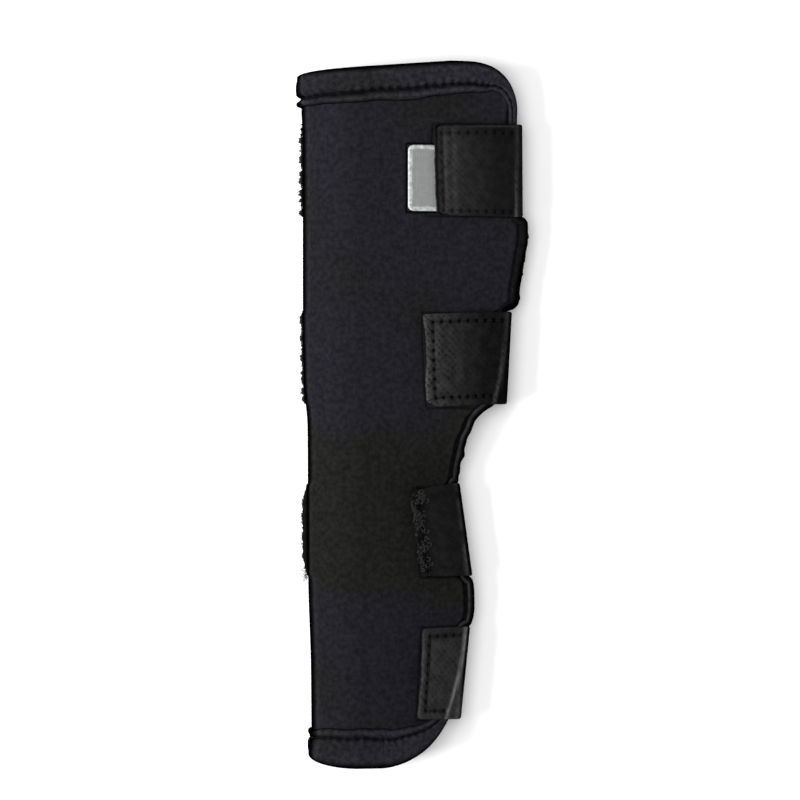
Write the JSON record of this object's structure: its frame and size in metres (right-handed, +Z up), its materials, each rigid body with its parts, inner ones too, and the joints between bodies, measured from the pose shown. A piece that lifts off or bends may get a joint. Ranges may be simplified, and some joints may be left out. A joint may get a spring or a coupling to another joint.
{
  "type": "wrist splint",
  "caption": "Long wrap-around neoprene wrist splint with padded cuffs, stayed panels, a relief cut at the wrist and hook-and-loop straps that peel open at the free edges.",
  "frame": {"origin": "centre of the bounding box in plan, at the height of the surface the splint lies on", "axes": "+Y along the splint towards its wide end, +X from the spine to the free edges that the straps hold together, +Z up out of the front panel"},
  "size_m": [0.0782, 0.2396, 0.0357],
  "materials": {
    "neoprene": "matte jersey-faced neoprene foam",
    "binding": "stretch edge binding",
    "webbing": "twill-backed hook-and-loop strap",
    "hook": "moulded hook tape",
    "label": "blank grey reflective patch",
    "spring_steel": "flat spring steel",
    "tip_plastic": "moulded tip",
    "lining": "knitted lining"
  },
  "bodies": {
    "sleeve": {"sleeve": "neoprene", "top_cuff": "neoprene", "bottom_cuff": "neoprene", "front_edge_binding": "binding", "back_edge_binding": "binding", "reflective_label": "label", "front_stay": "spring_steel", "front_stay_upper_tip": "tip_plastic", "front_stay_lower_tip": "tip_plastic", "front_stay_pocket": "lining", "back_stay": "spring_steel", "back_stay_upper_tip": "tip_plastic", "back_stay_lower_tip": "tip_plastic", "back_stay_pocket": "lining", "strap_1_band": "webbing", "strap_2_band": "webbing", "strap_3_band": "webbing", "strap_4_band": "webbing"},
    "strap_1": {"strap_1_tab": "webbing", "hook_patch_1": "hook"},
    "strap_2": {"strap_2_tab": "webbing", "hook_patch_2": "hook"},
    "strap_3": {"strap_3_tab": "webbing", "hook_patch_3": "hook"},
    "strap_4": {"strap_4_tab": "webbing", "hook_patch_4": "hook"}
  },
  "joints": [
    {"name": "strap_1_peel", "type": "hinge", "parent": "sleeve", "child": "strap_1", "pos_m": [0.0377, 0.0825, 0.0074], "axis": [-0.0065, 1, 0], "range_deg": [0, 155]},
    {"name": "strap_2_peel", "type": "hinge", "parent": "sleeve", "child": "strap_2", "pos_m": [0.03325, 0.019, 0.0074], "axis": [0.0548, 0.9985, 0], "range_deg": [0, 155]},
    {"name": "strap_3_peel", "type": "hinge", "parent": "sleeve", "child": "strap_3", "pos_m": [0.01855, -0.0392, 0.0074], "axis": [-0.1374, 0.9905, 0], "range_deg": [0, 150]},
    {"name": "strap_4_peel", "type": "hinge", "parent": "sleeve", "child": "strap_4", "pos_m": [0.01835, -0.0878, 0.0074], "axis": [0.0995, 0.995, 0], "range_deg": [0, 150]}
  ]
}
